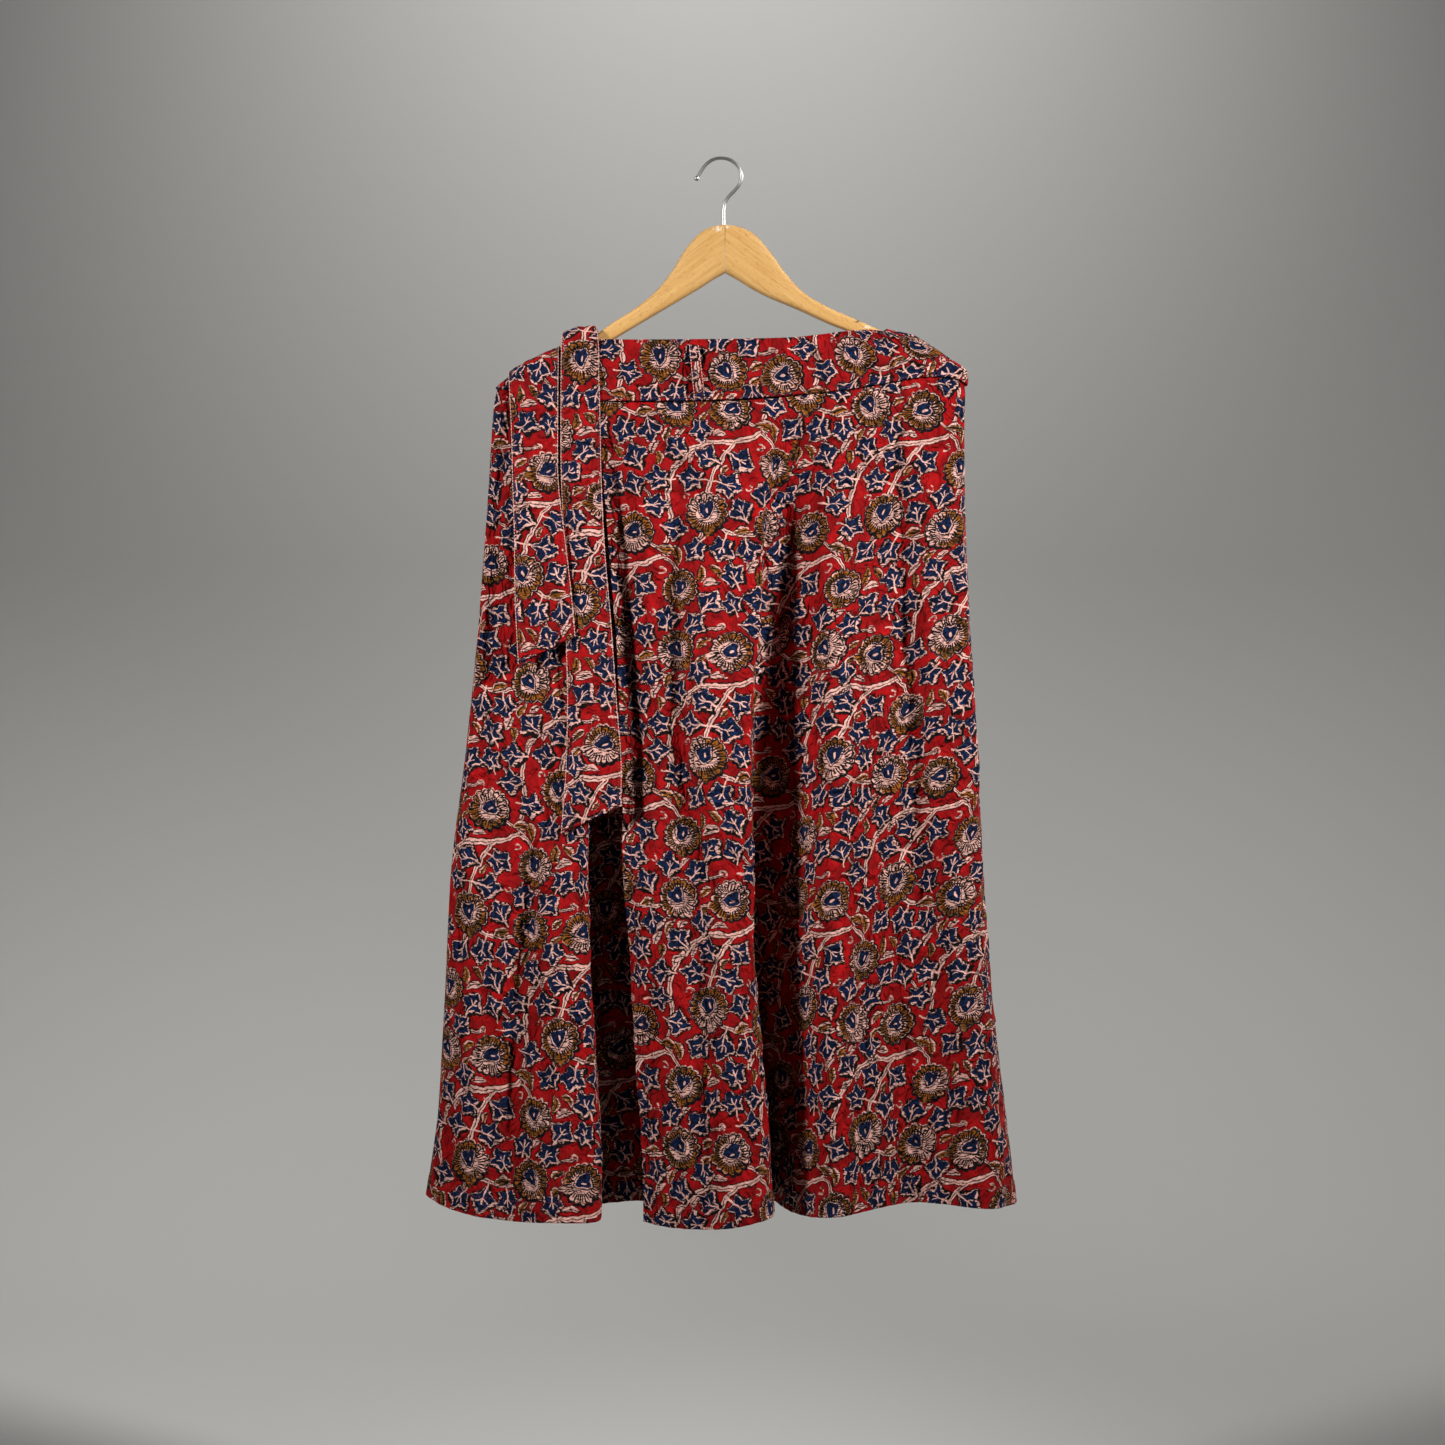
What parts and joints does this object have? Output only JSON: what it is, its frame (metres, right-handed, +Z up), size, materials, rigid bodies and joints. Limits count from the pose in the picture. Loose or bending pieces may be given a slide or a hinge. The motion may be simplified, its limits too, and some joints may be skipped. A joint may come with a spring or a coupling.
{
  "type": "wrap skirt on a hanger",
  "caption": "Long printed cotton wrap skirt with a waistband and two hanging ties, hung flat over the arms of a wooden hanger with a wire hook.",
  "frame": {"origin": "where the inside of the top of the hook bears on its rail", "axes": "+Z up, +X to the viewer's right, the front of the skirt faces -Y"},
  "size_m": [0.5565, 0.1428, 0.9995],
  "materials": {
    "printed_cotton": "block printed plain-weave cotton, red ground with pink, navy and ochre flowers, leaves and vines",
    "varnished_wood": "pale beech under a thin honey varnish, a little scuffed",
    "plated_wire": "plain drawn steel wire"
  },
  "bodies": {
    "root": {"front_outer": "printed_cotton", "back": "printed_cotton", "front_under": "printed_cotton", "waistband": "printed_cotton", "belt_loop": "printed_cotton", "tie_long": "printed_cotton", "tie_short": "printed_cotton", "hanger_left": "varnished_wood", "hanger_right": "varnished_wood", "hook": "plated_wire"}
  },
  "joints": []
}
